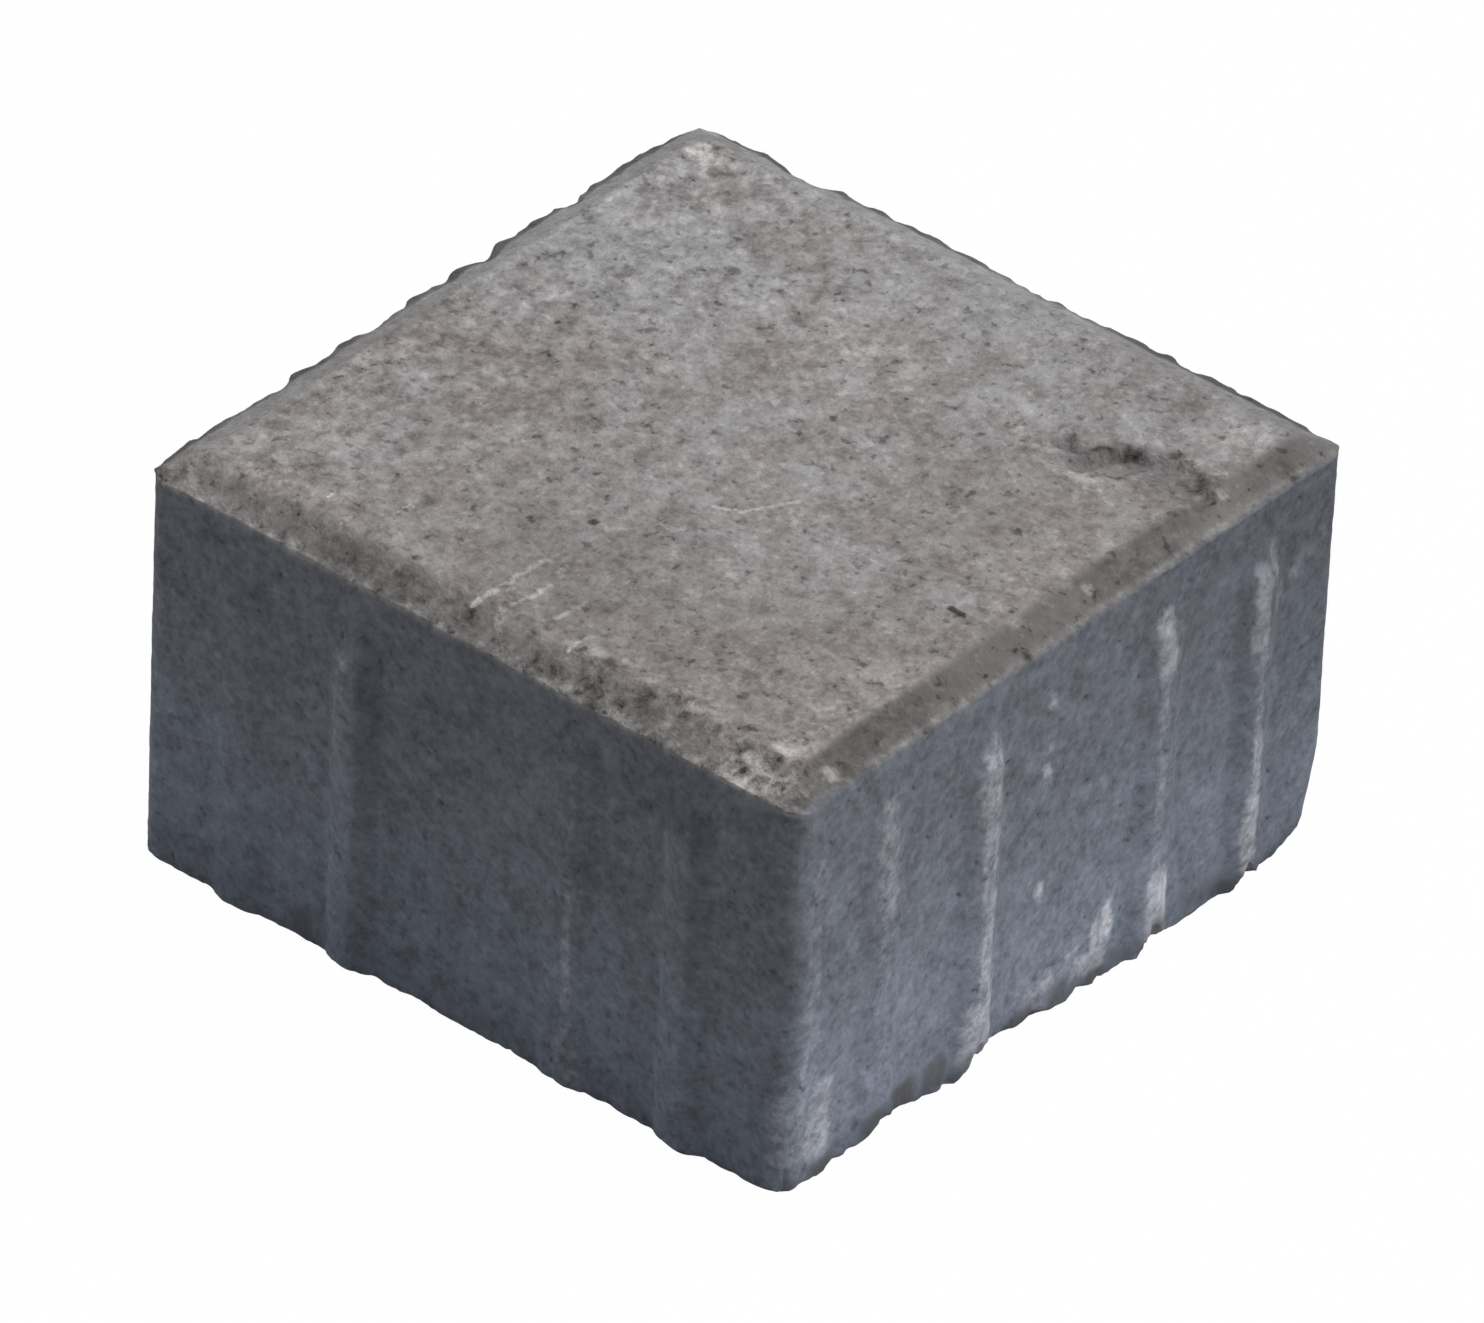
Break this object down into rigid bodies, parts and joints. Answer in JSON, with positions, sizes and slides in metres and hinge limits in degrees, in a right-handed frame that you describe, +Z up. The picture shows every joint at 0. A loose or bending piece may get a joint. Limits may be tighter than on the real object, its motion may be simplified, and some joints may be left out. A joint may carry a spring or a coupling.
{
  "type": "concrete paving stone",
  "caption": "Square cast concrete paving stone with a chamfered wearing face and upright spacer ribs on its side faces.",
  "frame": {"origin": "middle of the bed face, on the surface that the stone lies on", "axes": "+Z up through the thickness to the wearing face; X and Y square to the side faces"},
  "size_m": [0.108, 0.108, 0.06],
  "materials": {
    "concrete": "rough cast grey concrete, bloomed on the wearing face"
  },
  "bodies": {
    "root": {"paving_stone": "concrete"}
  },
  "joints": []
}
